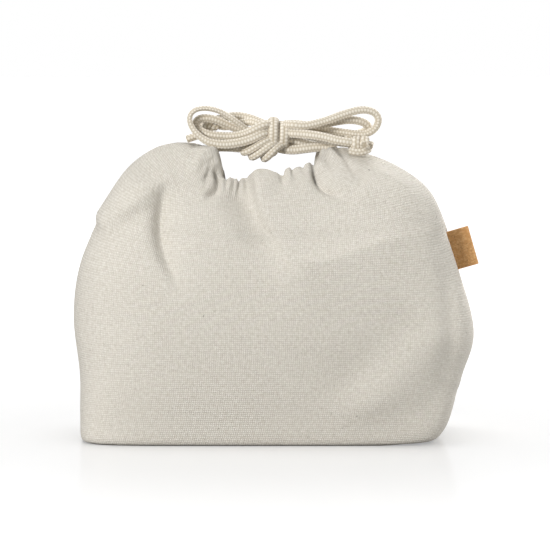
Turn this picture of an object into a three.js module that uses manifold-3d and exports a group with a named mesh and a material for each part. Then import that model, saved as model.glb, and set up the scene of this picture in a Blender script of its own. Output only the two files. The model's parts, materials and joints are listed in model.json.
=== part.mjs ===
// A canvas drawstring lunch bag, standing closed, with its two cords tied in one doubled bow.
// Millimetres, +Z up, +X along the bag's length, the front towards -Y.
// The origin is the middle of the base, on the surface that the bag stands on.
import * as THREE from 'three';
import { mergeVertices } from 'three/addons/utils/BufferGeometryUtils.js';
import Module from 'manifold-3d';

const wasm = await Module();
wasm.setup();

// Driving dimensions: cloth and fits
const CANVAS = 1.2; // thickness of the canvas
const FIT = 0.3; // gap between pieces that touch

// Driving dimensions: the flat base
const BASE_LENGTH = 204;
const BASE_DEPTH = 110;

// Driving dimensions: the wall's profiles between the base and the drawn mouth, up the two side seams
// and up the middles of the front and the back, as [how far outside the base's edge, height]
const LEFT_SEAM = [[5, 14], [5.5, 36], [9.2, 67], [5.2, 97], [-8.2, 126.4], [-20, 148], [-36, 160.6]];
const RIGHT_SEAM = [[0.5, 14], [5.2, 36], [11, 60], [2.6, 94], [-6.4, 123], [-15.6, 139.4], [-33, 152.4]];
const FRONT_MIDDLE = [[2.5, 14], [5.5, 36], [7, 64], [3.5, 92], [-4, 114], [-12.5, 127.5], [-21.5, 138]];
const BACK_MIDDLE = [[2.5, 14], [5.5, 36], [7, 64], [3.5, 92], [-4, 112], [-12.5, 125], [-21.5, 135]];

// Driving dimensions: the gathered mouth, measured along the middle of its casing
const MOUTH_LENGTH = 70;
const MOUTH_DEPTH = 36;
const MOUTH_SIDE_HEIGHT = 159.5;
const MOUTH_FRONT_HEIGHT = 141.5;
const BACK_DROP = 4; // how much lower the mouth lies at the back
const GATHERS = 18; // pleats round the whole mouth
const GATHER_DEPTH = 0.8;
const CORD_GATE = 14; // the gap at each side seam where a cord comes out

// Driving dimensions: the cords
const CORD_DIAMETER = 4.4;
const KNOT_RADIUS = 7.6; // round the bow knot's upright middle line
const KNOT_HEIGHT = 22;

// Driving dimensions: the folded cork label in the right side seam
const LABEL_HEIGHT = 104; // from the floor to the middle of its seam
const LABEL_LENGTH = 22;
const LABEL_REACH = 11.5; // how far it stands out
const LABEL_THICKNESS = 1.9;
const LABEL_LEAF = 0.8; // one layer of cork cloth
const LABEL_ROOT = 7; // sewn length inside the bag

// Sizes that follow
const CORD_RADIUS = CORD_DIAMETER / 2;
const PAIR_OFFSET = CORD_RADIUS + FIT;
const CASING_BORE = 2 * (PAIR_OFFSET + CORD_RADIUS + FIT);
const CASING_SIDES = 8;
const CASING_INNER = CASING_BORE / 2 / Math.cos(Math.PI / CASING_SIDES); // to its corners
const CASING_RADIUS = CASING_INNER + CANVAS;
const RIM_OFFSET = CASING_RADIUS + GATHER_DEPTH + FIT + CANVAS;
const EXIT_HEIGHT = MOUTH_SIDE_HEIGHT + PAIR_OFFSET;
const EXIT_X = MOUTH_LENGTH / 2 - PAIR_OFFSET - 1;
const GATE_ANGLE = Math.asin(CORD_GATE / MOUTH_DEPTH);

const canvasCloth = { color: 0xd7d2c7, roughness: 0.95, metalness: 0 };
const cottonCord = { color: 0xe0d8ca, roughness: 0.9, metalness: 0 };
const corkCloth = { color: 0xc8965f, roughness: 0.85, metalness: 0 };

const bag = new THREE.Group();
const bow = new THREE.Group();
bow.position.set(0, 0, EXIT_HEIGHT);
bag.add(bow);

function addMesh(parent, name, geometry, finish) {
  const mesh = new THREE.Mesh(geometry, new THREE.MeshStandardMaterial(finish));
  mesh.name = name;
  parent.add(mesh);
  return mesh;
}

// Solids for joins and cuts
function toSolid(geometry) {
  const bare = geometry.clone();
  bare.deleteAttribute('normal');
  bare.deleteAttribute('uv');
  const merged = mergeVertices(bare, 1e-4);
  return new wasm.Manifold(
    new wasm.Mesh({
      numProp: 3,
      vertProperties: new Float32Array(merged.attributes.position.array),
      triVerts: new Uint32Array(merged.index.array),
    }),
  );
}

function toGeometry(solid) {
  const mesh = solid.getMesh();
  const geometry = new THREE.BufferGeometry();
  geometry.setAttribute('position', new THREE.BufferAttribute(mesh.vertProperties, 3));
  geometry.setIndex(new THREE.BufferAttribute(mesh.triVerts, 1));
  return geometry;
}

function join(geometries) {
  return toGeometry(geometries.map(toSolid).reduce((all, one) => all.add(one)));
}

// A closed wall between two grids of points: rows of outer points, and as many inner ones.
// The columns run to the left along each row, seen from outside with the rows going up.
function shellGeometry(outer, inner, columnsClose) {
  const rows = outer.length;
  const columns = outer[0].length;
  const layer = rows * columns;
  const points = [...outer.flat(), ...inner.flat()];
  const index = [];
  const quad = (a, b, c, d) => index.push(a, b, c, a, c, d);
  const at = (row, column) => row * columns + (column % columns);
  const lastColumn = columnsClose ? columns : columns - 1;
  for (let row = 0; row < rows - 1; row += 1) {
    for (let column = 0; column < lastColumn; column += 1) {
      const corners = [
        at(row, column),
        at(row + 1, column),
        at(row + 1, column + 1),
        at(row, column + 1),
      ];
      quad(...corners);
      quad(...corners.reverse().map((corner) => corner + layer));
    }
  }
  for (let column = 0; column < lastColumn; column += 1) {
    const [a, b] = [at(0, column), at(0, column + 1)];
    quad(a, b, b + layer, a + layer);
    const [c, d] = [at(rows - 1, column), at(rows - 1, column + 1)];
    quad(d, c, c + layer, d + layer);
  }
  for (let row = 0; row < rows - 1 && !columnsClose; row += 1) {
    const [a, b] = [at(row, 0), at(row + 1, 0)];
    quad(b, a, a + layer, b + layer);
    const [c, d] = [at(row, columns - 1), at(row + 1, columns - 1)];
    quad(c, d, d + layer, c + layer);
  }
  const geometry = new THREE.BufferGeometry().setFromPoints(points);
  geometry.setIndex(index);
  return geometry;
}

// The mouth's middle line, and the wall that rises to it
const LIFT_AT_MOUTH = 5; // how sharply the mouth climbs to its side seams

function mouthPoint(angle) {
  const face = MOUTH_FRONT_HEIGHT - (Math.sin(angle) > 0 ? BACK_DROP : 0);
  const lift = Math.abs(Math.cos(angle)) ** LIFT_AT_MOUTH;
  return new THREE.Vector3(
    (MOUTH_LENGTH / 2) * Math.cos(angle),
    (MOUTH_DEPTH / 2) * Math.sin(angle),
    face + (MOUTH_SIDE_HEIGHT - face) * lift,
  );
}

function pleat(angle) {
  return GATHER_DEPTH * (0.5 + 0.5 * Math.cos(GATHERS * angle));
}

function profile(points) {
  return new THREE.SplineCurve(points.map(([reach, height]) => new THREE.Vector2(reach, height)));
}

function wallProfile(base, points, mouth, rimHeight) {
  const between = points.map(([outside, height]) => [base / 2 + outside, height]);
  return profile([[base / 2, 0], ...between, [mouth / 2 + RIM_OFFSET, rimHeight + CANVAS]]);
}

const leftProfile = wallProfile(BASE_LENGTH, LEFT_SEAM, MOUTH_LENGTH, MOUTH_SIDE_HEIGHT);
const rightProfile = wallProfile(BASE_LENGTH, RIGHT_SEAM, MOUTH_LENGTH, MOUTH_SIDE_HEIGHT);
const frontProfile = wallProfile(BASE_DEPTH, FRONT_MIDDLE, MOUTH_DEPTH, MOUTH_FRONT_HEIGHT);
const backProfile = wallProfile(BASE_DEPTH, BACK_MIDDLE, MOUTH_DEPTH, MOUTH_FRONT_HEIGHT - BACK_DROP);
// At each level: how square the plan is, where 2 is an ellipse, and how narrow the raised sides are
const SQUARENESS = [7, 5.6, 4.4, 3.6, 3.2, 2.9, 2.7, 2.4, 2];
const LEFT_LIFT = [2, 2, 2, 2, 2.1, 2.1, 2.4, 3.2, LIFT_AT_MOUTH];
const RIGHT_LIFT = [2, 2, 2, 2, 2, 1.8, 1.7, 1.7, LIFT_AT_MOUTH];

function alongLevels(values, t) {
  const place = t * (values.length - 1);
  const below = Math.min(Math.floor(place), values.length - 2);
  return THREE.MathUtils.lerp(values[below], values[below + 1], place - below);
}

function wallPoint(angle, t) {
  const [cosine, sine] = [Math.cos(angle), Math.sin(angle)];
  const side = (cosine < 0 ? leftProfile : rightProfile).getPoint(t);
  const face = (sine > 0 ? backProfile : frontProfile).getPoint(t);
  const power = 2 / alongLevels(SQUARENESS, t);
  const lift = Math.abs(cosine) ** alongLevels(cosine < 0 ? LEFT_LIFT : RIGHT_LIFT, t);
  const gather = (pleat(angle) - GATHER_DEPTH) * THREE.MathUtils.smoothstep(t, 0.85, 1);
  return new THREE.Vector3(
    Math.sign(cosine) * (side.x * Math.abs(cosine) ** power + gather * Math.abs(cosine)),
    Math.sign(sine) * (face.x * Math.abs(sine) ** power + gather * Math.abs(sine)),
    face.y + (side.y - face.y) * lift,
  );
}

function wallNormal(angle, t) {
  const step = 1e-3;
  const [low, high] = [Math.max(t - step, 0), Math.min(t + step, 1)];
  const round = wallPoint(angle + step, t).sub(wallPoint(angle - step, t));
  const up = wallPoint(angle, high).sub(wallPoint(angle, low));
  const normal = round.cross(up);
  if (t === 0) normal.z = 0;
  return normal.normalize();
}

// The folds of the slack cloth. Each is a line drawn on a panel as [x, z], from its top or its left end,
// then the widths to its left or below it and to its other side, and a depth, negative if it stands proud.
const FRONT_FOLDS = [
  [[[-13, 149], [-4, 127], [8, 109], [20, 102], [36, 103], [62, 113], [90, 124]], [8, 24], -5],
  [[[8, 97], [22, 90], [40, 89], [62, 98], [84, 109]], [10, 6], 2.2],
  [[[24, 151], [27, 143.5], [36, 137.5], [44, 133], [56, 118]], [5, 8], 4],
  [[[-96, 116], [-84, 125], [-72, 133.5], [-60, 143.5], [-46, 149]], [6, 13], -4],
  [[[-62, 139], [-65, 128], [-65, 117], [-60, 103], [-52, 84]], [5, 8], 5],
  [[[96, 68], [82, 48], [64, 30], [44, 17], [20, 8]], [14, 9], -4.6],
  [[[98, 36], [84, 18], [62, 4]], [7, 9], 3.2],
  [[[79, 75], [48, 43], [17, 20]], [14, 12], 2.6],
];
const BACK_FOLDS = [
  [[[-38, 152], [-60, 136], [-66, 108]], [7, 5], 2.4],
  [[[36, 152], [58, 138], [64, 110]], [5, 7], 2.6],
  [[[10, 128], [30, 96], [34, 60]], [9, 12], 1.6],
];
const FOLD_STEPS = 20;

function foldDepth(place, [line, widths, depth]) {
  const points = profile(line).getSpacedPoints(FOLD_STEPS);
  const nearest = { distance: Infinity };
  for (let step = 0; step < FOLD_STEPS; step += 1) {
    const along = points[step + 1].clone().sub(points[step]);
    const off = place.clone().sub(points[step]);
    const share = THREE.MathUtils.clamp(off.dot(along) / along.lengthSq(), 0, 1);
    const side = along.cross(off);
    const distance = off.addScaledVector(along, -share).length();
    if (distance < nearest.distance) {
      Object.assign(nearest, { distance, side, at: (step + share) / FOLD_STEPS });
    }
  }
  const width = nearest.side < 0 ? widths[0] : widths[1];
  const start = THREE.MathUtils.smoothstep(nearest.at, -0.02, 0.1);
  const end = 1 - THREE.MathUtils.smoothstep(nearest.at, 0.55, 1);
  return depth * start * end * Math.exp(-((nearest.distance / width) ** 2));
}

// The folds fade out at the base, at the mouth and at the side seams.
function foldedPoint(angle, t, folds) {
  const point = wallPoint(angle, t);
  const place = new THREE.Vector2(point.x, point.z);
  const depth = folds.reduce((sum, fold) => sum + foldDepth(place, fold), 0);
  const fade =
    THREE.MathUtils.smoothstep(point.z, 3, 25) *
    (1 - THREE.MathUtils.smoothstep(t, 0.85, 0.97)) *
    THREE.MathUtils.smoothstep(Math.abs(Math.sin(angle)), 0, 0.3);
  return point.addScaledVector(wallNormal(angle, t), -depth * fade);
}

// The panels: one half of the wall each, from side seam to side seam
const PANEL_COLUMNS = 40;
const PANEL_ROWS = 18;
const FINE_STEPS = 240;

// Angles whose points lie evenly along one level of a panel, from its far end to fromAngle
function evenAngles(fromAngle, t) {
  const angleAt = (step) => fromAngle + Math.PI * (1 - step / FINE_STEPS);
  const lengths = [0];
  for (let step = 1; step <= FINE_STEPS; step += 1) {
    const stretch = wallPoint(angleAt(step), t).distanceTo(wallPoint(angleAt(step - 1), t));
    lengths.push(lengths[step - 1] + stretch);
  }
  return Array.from({ length: PANEL_COLUMNS + 1 }, (_, column) => {
    const target = (lengths[FINE_STEPS] * column) / PANEL_COLUMNS;
    let next = 1;
    while (next < FINE_STEPS && lengths[next] < target) next += 1;
    const share = (target - lengths[next - 1]) / (lengths[next] - lengths[next - 1]);
    return angleAt(next - 1 + share);
  });
}

function panelGeometry(fromAngle, seamShift, folds) {
  const outer = [];
  const inner = [];
  for (let row = 0; row <= PANEL_ROWS; row += 1) {
    const t = row / PANEL_ROWS;
    const angles = evenAngles(fromAngle, t);
    const points = angles.map((angle) => foldedPoint(angle, t, folds));
    for (const point of points) point.y += seamShift;
    outer.push(points);
    const normals = angles.map((angle) => wallNormal(angle, t));
    inner.push(points.map((point, column) => point.clone().addScaledVector(normals[column], -CANVAS)));
  }
  return shellGeometry(outer, inner, false);
}

// The label stands in the side seam, square to the wall there.
function seamPlace(height) {
  const step = 1e-4;
  let t = 0;
  while (wallPoint(0, t).z < height) t += step;
  const point = wallPoint(0, t);
  return { point, tangent: wallPoint(0, t + step).sub(point) };
}

const seam = seamPlace(LABEL_HEIGHT);
const label = new THREE.Group();
label.position.copy(seam.point);
label.rotation.y = -Math.atan2(-seam.tangent.x, seam.tangent.z);
label.updateMatrixWorld(true);
bag.add(label);

function labelSlot() {
  const slot = new THREE.BoxGeometry(
    2 * LABEL_ROOT,
    LABEL_THICKNESS + 2 * FIT,
    LABEL_LENGTH + 2 * FIT,
  );
  return slot.applyMatrix4(label.matrixWorld);
}

const panels = { front_panel: [Math.PI, -FIT / 2, FRONT_FOLDS], back_panel: [0, FIT / 2, BACK_FOLDS] };
for (const [name, placing] of Object.entries(panels)) {
  const wall = toSolid(panelGeometry(...placing));
  addMesh(bag, name, toGeometry(wall.subtract(toSolid(labelSlot()))), canvasCloth);
}

// The base: a flat panel inside the foot of the wall
const BASE_STEPS = 40;

function baseGeometry() {
  const inset = CANVAS + 2 * FIT;
  const power = 2 / SQUARENESS[0];
  const outline = new THREE.Shape();
  for (let step = 0; step < BASE_STEPS; step += 1) {
    const angle = (2 * Math.PI * (step + 0.5)) / BASE_STEPS;
    const [cosine, sine] = [Math.cos(angle), Math.sin(angle)];
    const x = Math.sign(cosine) * (BASE_LENGTH / 2 - inset) * Math.abs(cosine) ** power;
    const y = Math.sign(sine) * (BASE_DEPTH / 2 - inset) * Math.abs(sine) ** power;
    if (step === 0) outline.moveTo(x, y);
    else outline.lineTo(x, y);
  }
  return new THREE.ExtrudeGeometry(outline, { depth: CANVAS, bevelEnabled: false });
}

addMesh(bag, 'base_panel', baseGeometry(), canvasCloth);

// The casing: each panel's top edge turned in as a gathered tube, open at the cord gates
const CASING_RINGS = 27;

function mouthFrame(angle) {
  const step = 1e-3;
  const along = mouthPoint(angle + step).sub(mouthPoint(angle - step)).normalize();
  const outward = new THREE.Vector3(along.y, -along.x, 0).normalize();
  return { outward, upward: outward.clone().cross(along) };
}

function casingGeometry(fromAngle) {
  const outer = [];
  const inner = [];
  for (let ring = 0; ring <= CASING_RINGS; ring += 1) {
    const share = ring / CASING_RINGS;
    const angle = fromAngle + GATE_ANGLE + (Math.PI - 2 * GATE_ANGLE) * share;
    const middle = mouthPoint(angle);
    const { outward, upward } = mouthFrame(angle);
    const circle = (radius) =>
      Array.from({ length: CASING_SIDES }, (_, side) => {
        const turn = (2 * Math.PI * side) / CASING_SIDES;
        return middle
          .clone()
          .addScaledVector(outward, radius * Math.cos(turn))
          .addScaledVector(upward, radius * Math.sin(turn));
      });
    outer.push(circle(CASING_RADIUS + pleat(angle)));
    inner.push(circle(CASING_INNER));
  }
  return shellGeometry(outer, inner, true);
}

addMesh(bag, 'front_casing', casingGeometry(Math.PI), canvasCloth);
addMesh(bag, 'back_casing', casingGeometry(0), canvasCloth);

// Cords
function circleShape(radius, sides) {
  const circle = new THREE.Shape();
  for (let side = 0; side < sides; side += 1) {
    const turn = (2 * Math.PI * side) / sides;
    const [x, y] = [radius * Math.cos(turn), radius * Math.sin(turn)];
    if (side === 0) circle.moveTo(x, y);
    else circle.lineTo(x, y);
  }
  return circle;
}

const CORD_SIDES = 8;

function cordGeometry(points, spacing) {
  const path = new THREE.CatmullRomCurve3(
    points.map((point) => (point.isVector3 ? point : new THREE.Vector3(...point))),
  );
  const steps = Math.max(3, Math.round(path.getLength() / spacing));
  return new THREE.ExtrudeGeometry(circleShape(CORD_RADIUS, CORD_SIDES), {
    steps,
    extrudePath: path,
    bevelEnabled: false,
  });
}

// Inside the casing the two cords lie side by side and turn half way round each other.
// Each goes once round the mouth from its own gate, where its two ends come up and turn inwards.
const RUN_SPACING = 5;
const RUN_TURNS = 30;

function cordRunGeometry(gateAngle) {
  const side = Math.sign(Math.cos(gateAngle));
  const points = [];
  for (let step = 0; step <= RUN_TURNS; step += 1) {
    const turned = GATE_ANGLE + (2 * Math.PI - 2 * GATE_ANGLE) * (step / RUN_TURNS);
    const angle = gateAngle + turned;
    const { outward, upward } = mouthFrame(angle);
    points.push(
      mouthPoint(angle)
        .addScaledVector(outward, PAIR_OFFSET * Math.sin(turned))
        .addScaledVector(upward, PAIR_OFFSET * Math.cos(turned)),
    );
  }
  const end = (y) => [
    new THREE.Vector3(side * (EXIT_X + 3), y * 1.25, EXIT_HEIGHT - 0.8),
    new THREE.Vector3(side * (EXIT_X + 1.6), y, EXIT_HEIGHT),
    new THREE.Vector3(side * (EXIT_X + FIT), y, EXIT_HEIGHT),
  ];
  const first = side * PAIR_OFFSET;
  return cordGeometry([...end(first).reverse(), ...points, ...end(-first)], RUN_SPACING);
}

addMesh(bag, 'right_cord_run', cordRunGeometry(0), cottonCord);
addMesh(bag, 'left_cord_run', cordRunGeometry(Math.PI), cottonCord);

// Routes of the bow, chosen by hand, from the middle of the two cord gates.
// Each loop and tail leaves the knot square to it, on one of two levels.
const KNOT_X = 4;
const LOW = 8;
const HIGH = 12.8;
const ENTRY = KNOT_RADIUS + FIT + 0.1;
const ENTRY_STRAIGHT = 3.5;
const FAN = 40; // degrees between neighbouring strands on one level

function entry(degrees, height) {
  const angle = THREE.MathUtils.degToRad(degrees);
  return [ENTRY, ENTRY + ENTRY_STRAIGHT].map((reach) => [
    KNOT_X + reach * Math.cos(angle),
    reach * Math.sin(angle),
    height,
  ]);
}

const [RIGHT, LEFT] = [0, 180];
const loops = {
  left_loop_outer: [
    ...entry(LEFT + FAN, LOW),
    [-10.5, -8.9, 5.4], [-18.5, -9.8, 3], [-28, -10.3, 2.2], [-36, -10.3, 3.8],
    [-41.6, -9.6, 7.8], [-45, -8.7, 12.4], [-46, -7.8, 16.2], [-44.8, -6.9, 19.6],
    [-41.4, -6, 21.6], [-35.8, -5, 21.9], [-29.5, -4, 20.3], [-24, -3, 17.2],
    [-19, -1.8, 13.4], [-14, -0.6, 9.8],
    ...entry(LEFT, LOW).reverse(),
  ],
  left_loop_inner: [
    ...entry(LEFT + FAN, HIGH),
    [-10, -7.8, 10.4], [-14, -6.6, 8.4], [-18.5, -5.8, 7], [-25, -5.2, 6.4],
    [-34, -4.6, 7.2], [-40, -3.6, 9.4], [-42.6, -2.2, 12.6], [-41, -0.8, 15.6],
    [-36.2, 0.2, 16.2], [-31, 1, 15], [-26.5, 2, 13], [-20.6, 3.4, 10.4], [-14, 5, 8.4],
    ...entry(LEFT - FAN, LOW).reverse(),
  ],
  right_loop_outer: [
    ...entry(RIGHT - FAN, HIGH),
    [18.5, -7.2, 12.4], [28.9, -4.6, 14.6], [37.5, -2.6, 17.6], [46, -1, 20.2],
    [52.4, 0.2, 20.8], [57.6, 1.2, 19], [59.6, 2, 15.4], [58.5, 2.6, 11.4],
    [55.2, 3.2, 8.2], [50.4, 4, 6.9], [41.7, 5.6, 7.8], [31.4, 7, 9.2], [20.2, 8.2, 11],
    ...entry(RIGHT + FAN, HIGH).reverse(),
  ],
  right_loop_inner: [
    ...entry(RIGHT, HIGH),
    [20.5, 0, 12.2], [28, 1, 12.8], [37, 2.4, 14.3], [43.3, 3.6, 15], [50, 5.2, 14],
    [54, 7.2, 11.2], [52, 9.6, 8.2], [46, 11, 6.4], [38, 11.6, 5.8], [29, 11.4, 5.8], [20.2, 10, 6.4],
    ...entry(RIGHT + FAN, LOW).reverse(),
  ],
};
const tails = {
  left_tail_lower: [
    ...entry(LEFT, HIGH),
    [-12, 3.6, 14], [-17, 7.2, 13], [-22, 8.8, 11.8], [-26.6, 9, 11],
  ],
  left_tail_upper: [
    ...entry(LEFT - FAN, HIGH),
    [-11, 10, 15.2], [-17, 11, 16.6], [-22, 10.2, 16.8], [-26.6, 9, 15.9],
  ],
  right_tail_front: [
    ...entry(RIGHT - FAN, LOW),
    [20.2, -10.2, 7.6], [28.9, -12.6, 6.4], [35.4, -13.8, 4.8], [41.6, -14.4, 3.8],
  ],
  right_tail_back: [
    ...entry(RIGHT, LOW),
    [21, -4.6, 6.9], [29, -7.4, 5.2], [35.4, -8.8, 4], [41.6, -9.4, 3.2],
  ],
};
const strands = {
  left_strand_front: [
    [-EXIT_X, -PAIR_OFFSET, 0], [-22.5, -PAIR_OFFSET, -0.2], [-18, -2.2, -0.6],
  ],
  left_strand_back: [
    [-EXIT_X, PAIR_OFFSET, 0], [-22.5, PAIR_OFFSET, -0.2], [-18, 2.8, -0.6],
  ],
  right_strand_lower: [
    [EXIT_X, -PAIR_OFFSET, 0], [24, -PAIR_OFFSET, -0.1], [18, -2.2, -0.8], [12.1, -1.6, -1.5],
  ],
  right_strand_upper: [
    [EXIT_X, PAIR_OFFSET, 0], [24, PAIR_OFFSET, 0.2], [18, 1.8, 1.7], [12.1, 0.8, 3.1],
  ],
};
const LOOP_SPACING = 5;
const STRAIGHT_SPACING = 9;
for (const [name, points] of Object.entries(loops)) {
  addMesh(bow, name, cordGeometry(points, LOOP_SPACING), cottonCord);
}
for (const [name, points] of Object.entries({ ...tails, ...strands })) {
  addMesh(bow, name, cordGeometry(points, STRAIGHT_SPACING), cottonCord);
}

// The bow knot: two upright wraps round the crossing strands, and three strands that come up
// from the left gate and go under the wraps.
const KNOT_MIDDLE = 6.5;
const WRAP_SPACING = 7;
const WRAP_DEPTH = 3.9;
const WRAP_STEPS = 12;
const KNOT_SPACING = 3.6;

// One wrap goes down the front, round under the knot, up the back and in again at the top.
function wrapGeometry(x, lean) {
  const reach = KNOT_HEIGHT / 2 - CORD_RADIUS;
  const points = Array.from({ length: WRAP_STEPS + 1 }, (_, step) => {
    const turn = (2 * Math.PI * step) / WRAP_STEPS;
    const rise = reach * Math.cos(turn);
    return [x + lean * rise, -WRAP_DEPTH * Math.sin(turn), KNOT_MIDDLE + rise];
  });
  const inside = (rise) => [x, 0, KNOT_MIDDLE + rise];
  return cordGeometry([inside(reach / 2), ...points.slice(1, -1), inside(reach / 3)], KNOT_SPACING);
}

function knotCore() {
  const rounded = [[0, -1], [0.6, -1], [1, -0.85], [1, 0.85], [0.6, 1], [0, 1]];
  const core = new THREE.LatheGeometry(rounded.map(([r, z]) => new THREE.Vector2(r, z)), 12);
  core.rotateX(Math.PI / 2);
  core.scale(KNOT_RADIUS - FIT, WRAP_DEPTH + 0.7, KNOT_HEIGHT / 2 - CORD_RADIUS + 1);
  return core.translate(KNOT_X, 0, KNOT_MIDDLE);
}

const underStrands = [
  [[-16.6, 0.3, -0.6], [-10, -3, -0.4], [-3, -3.6, 2.4], [4, -1.5, 5]],
  [[-13.5, 1, -3], [-8, -2.6, -3.6], [-1, -3.6, -0.6], [5, -1.5, 3]],
  [[-7, 2, -5.4], [-3, -1.8, -5.6], [3, -3.2, -3], [7, -1, 1]],
];
addMesh(
  bow,
  'bow_knot',
  join([
    knotCore(),
    wrapGeometry(KNOT_X - WRAP_SPACING / 2, 0.03),
    wrapGeometry(KNOT_X + WRAP_SPACING / 2, -0.05),
    ...underStrands.map((points) => cordGeometry(points, KNOT_SPACING)),
  ]),
  cottonCord,
);

// The end knots: each pair of tails is tied in one stopper, with a cut end left showing.
const END_WRAP_RADIUS = 3;
const END_WRAP_LEAN = 0.35;

function endKnotGeometry(middle, cutEnd) {
  const wraps = [-1, 0, 1].map((place) => {
    const wrap = new THREE.TorusGeometry(END_WRAP_RADIUS, CORD_RADIUS, CORD_SIDES, 12);
    wrap.rotateY(Math.PI / 2 + END_WRAP_LEAN * place);
    return wrap.translate(middle[0] + place * 3.9, middle[1], middle[2]);
  });
  const core = new THREE.SphereGeometry(END_WRAP_RADIUS + 1.2, 10, 6);
  core.translate(...middle);
  return join([core, ...wraps, cordGeometry([middle, ...cutEnd], KNOT_SPACING)]);
}

addMesh(
  bow,
  'left_end_knot',
  endKnotGeometry([-34.3, 9, 13.4], [[-38, 9.4, 9], [-46.6, 8, 5.4]]),
  cottonCord,
);
addMesh(
  bow,
  'right_end_knot',
  endKnotGeometry([49.3, -12, 3.4], [[50.5, -15, 3.2], [51, -19, 2.8]]),
  cottonCord,
);

// The label: a strip of cork cloth folded once, its free tab outside and its root in the seam
const LABEL_PIVOT = LABEL_THICKNESS / 2 + FIT;

function stadium(path, fromX, toX, radius) {
  path.absarc(fromX, 0, radius, Math.PI / 2, 1.5 * Math.PI, false);
  path.absarc(toX, 0, radius, -Math.PI / 2, Math.PI / 2, false);
  path.closePath();
  return path;
}

function labelTabGeometry() {
  const ends = [LABEL_PIVOT, LABEL_REACH - LABEL_THICKNESS / 2];
  const outline = stadium(new THREE.Shape(), ...ends, LABEL_THICKNESS / 2);
  outline.holes.push(stadium(new THREE.Path(), ...ends, LABEL_THICKNESS / 2 - LABEL_LEAF));
  const tab = new THREE.ExtrudeGeometry(outline, {
    depth: LABEL_LENGTH,
    curveSegments: 6,
    bevelEnabled: false,
  });
  return tab.translate(0, 0, -LABEL_LENGTH / 2);
}

function labelRootGeometry() {
  const root = new THREE.BoxGeometry(LABEL_ROOT, LABEL_THICKNESS, LABEL_LENGTH);
  return root.translate(LABEL_PIVOT - LABEL_THICKNESS / 2 - FIT - LABEL_ROOT / 2, 0, 0);
}

addMesh(label, 'label_tab', labelTabGeometry(), corkCloth);
addMesh(label, 'label_root', labelRootGeometry(), corkCloth);

export default bag;
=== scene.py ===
# %% [markdown]
# A lunch bag of heathered canvas, drawn shut by two braided cords that are tied in one doubled bow.
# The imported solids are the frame: they say where each piece is and how it moves. This lesson dresses
# them with cloth, braid and cork.

# %% Load the frame
import json
import math

import bpy
import numpy as np
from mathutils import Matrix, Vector


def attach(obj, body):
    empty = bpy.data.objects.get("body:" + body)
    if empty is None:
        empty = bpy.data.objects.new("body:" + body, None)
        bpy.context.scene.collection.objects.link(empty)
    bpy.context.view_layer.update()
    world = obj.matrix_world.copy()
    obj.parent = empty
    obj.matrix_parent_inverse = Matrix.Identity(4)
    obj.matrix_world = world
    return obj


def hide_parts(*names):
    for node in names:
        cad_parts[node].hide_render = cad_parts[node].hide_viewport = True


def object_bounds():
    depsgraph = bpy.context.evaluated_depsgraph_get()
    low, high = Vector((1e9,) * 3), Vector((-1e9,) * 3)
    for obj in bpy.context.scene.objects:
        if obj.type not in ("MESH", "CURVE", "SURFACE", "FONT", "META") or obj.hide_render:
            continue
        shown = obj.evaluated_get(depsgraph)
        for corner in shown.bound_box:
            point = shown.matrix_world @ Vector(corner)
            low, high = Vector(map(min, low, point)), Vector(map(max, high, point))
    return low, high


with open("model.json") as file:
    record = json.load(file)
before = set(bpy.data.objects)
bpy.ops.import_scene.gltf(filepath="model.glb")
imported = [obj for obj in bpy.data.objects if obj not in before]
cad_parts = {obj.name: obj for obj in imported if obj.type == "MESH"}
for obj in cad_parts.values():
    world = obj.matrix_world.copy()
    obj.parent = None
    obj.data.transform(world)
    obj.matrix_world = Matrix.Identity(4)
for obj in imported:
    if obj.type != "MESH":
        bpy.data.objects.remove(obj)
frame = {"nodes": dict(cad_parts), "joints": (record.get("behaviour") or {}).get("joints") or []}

CAD_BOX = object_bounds()
MM = 0.001
joints = {joint["name"]: joint for joint in frame["joints"]}

# %% [markdown]
# The picture is taken with a long lens from a little above the bag's middle, square to its front.
# A long lens far away keeps the upright sides upright, so the lens is 350 mm and stands 3 m off.

# %% Camera
CAMERA_LENS = 350
CAMERA_DISTANCE = 3.0
CAMERA_ELEVATION = math.radians(5)
CAMERA_AIM = Vector((0.0017, 0, 0.0901))

away = Vector((0, -math.cos(CAMERA_ELEVATION), math.sin(CAMERA_ELEVATION)))
bpy.ops.object.camera_add(
    location=CAMERA_AIM + away * CAMERA_DISTANCE,
    rotation=(math.pi / 2 - CAMERA_ELEVATION, 0, 0),
)
camera = bpy.context.object
camera.data.lens = CAMERA_LENS
bpy.context.scene.camera = camera
print("camera:", tuple(round(value, 3) for value in camera.location))

# %% [markdown]
# Each finish is a set of shader nodes. A few helpers keep the recipes short: one starts a material,
# and the others add a node whose inputs are numbers or the outputs of other nodes.

# %% Helpers for materials


def srgb(red, green, blue):
    """The linear colour that a shader needs for a picture's colour, 0 to 255."""
    shares = [value / 255 for value in (red, green, blue)]
    linear = [v / 12.92 if v <= 0.04045 else ((v + 0.055) / 1.055) ** 2.4 for v in shares]
    return (*linear, 1)


def start_material(name, roughness, specular, sheen=0.0, sheen_roughness=0.5):
    material = bpy.data.materials.new(name)
    material.use_nodes = True
    shader = material.node_tree.nodes["Principled BSDF"]
    shader.inputs["Roughness"].default_value = roughness
    shader.inputs["Specular IOR Level"].default_value = specular
    shader.inputs["Sheen Weight"].default_value = sheen
    shader.inputs["Sheen Roughness"].default_value = sheen_roughness
    return material, material.node_tree, shader


def put(socket, value):
    if isinstance(value, bpy.types.NodeSocket):
        socket.id_data.links.new(value, socket)
    else:
        socket.default_value = value


def calculate(operation, *values):
    node = values[0].id_data.nodes.new("ShaderNodeMath")
    node.operation = operation
    for socket, value in zip(node.inputs, values):
        put(socket, value)
    return node.outputs[0]


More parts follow.
